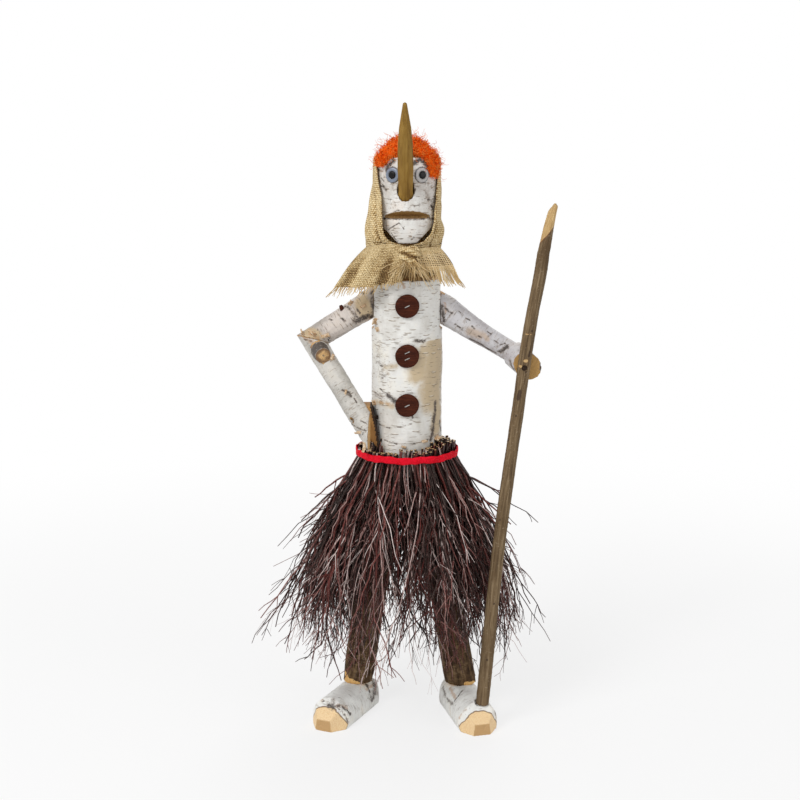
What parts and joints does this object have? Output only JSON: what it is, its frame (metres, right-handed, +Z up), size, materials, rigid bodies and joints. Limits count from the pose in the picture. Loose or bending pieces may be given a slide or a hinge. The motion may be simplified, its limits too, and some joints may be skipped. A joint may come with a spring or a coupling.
{
  "type": "wooden garden figure",
  "caption": "Standing garden figure of pegged birch logs, with a head that turns on a neck peg, a long whittled nose, burlap headscarf, twig skirt and staff.",
  "frame": {"origin": "middle of the figure's box, on the floor under the soles", "axes": "+Z up along the figure's height, -Y the way it faces, +X its own left side, where it holds the staff"},
  "size_m": [0.4864, 0.3493, 0.9876],
  "materials": {
    "birch_bark": "white paper bark with pale sawn ends",
    "dark_bark": "rough dark bark",
    "staff_bark": "smooth grey-brown bark",
    "bare_wood": "whittled bare wood",
    "peg_wood": "turned hardwood peg",
    "button_wood": "dark reddish-brown disc",
    "twig_bark": "thin purple-brown birch twigs",
    "red_ribbon": "red woven ribbon",
    "burlap": "coarse plain-weave burlap",
    "hair_fibre": "orange curly fibre",
    "eye_plastic": "blue-grey plastic",
    "pupil_plastic": "black plastic",
    "steel": "bright steel wire and screws"
  },
  "bodies": {
    "figure": {"binding_wire": "steel", "button_bottom": "button_wood", "button_middle": "button_wood", "button_staple_bottom": "steel", "button_staple_middle_high": "steel", "button_staple_middle_low": "steel", "button_staple_top": "steel", "button_top": "button_wood", "elbow_peg": "peg_wood", "hip_block": "bare_wood", "hip_screw": "steel", "left_ankle_peg": "peg_wood", "left_arm": "birch_bark", "left_hand": "birch_bark", "left_hip_peg": "peg_wood", "left_leg": "dark_bark", "left_shoe": "birch_bark", "left_shoulder_peg": "peg_wood", "neck_peg": "peg_wood", "right_ankle_peg": "peg_wood", "right_forearm": "birch_bark", "right_hip_peg": "peg_wood", "right_leg": "dark_bark", "right_shoe": "birch_bark", "right_shoulder_peg": "peg_wood", "right_upper_arm": "birch_bark", "staff": "staff_bark", "staff_screw": "steel", "torso": "birch_bark", "twig_skirt_back": "twig_bark", "twig_skirt_front": "twig_bark", "twig_skirt_left": "twig_bark", "twig_skirt_right": "twig_bark", "waist_ribbon": "red_ribbon", "wrist_peg": "peg_wood"},
    "head": {"hair": "hair_fibre", "head": "birch_bark", "headscarf": "burlap", "left_eye": "eye_plastic", "left_pupil": "pupil_plastic", "nose": "bare_wood", "right_eye": "eye_plastic", "right_pupil": "pupil_plastic"}
  },
  "joints": [
    {"name": "head_turn", "type": "hinge", "parent": "figure", "child": "head", "pos_m": [0.0074, -0.0126, 0.776], "axis": [0, 0, 1], "range_deg": [-30, 30]}
  ]
}
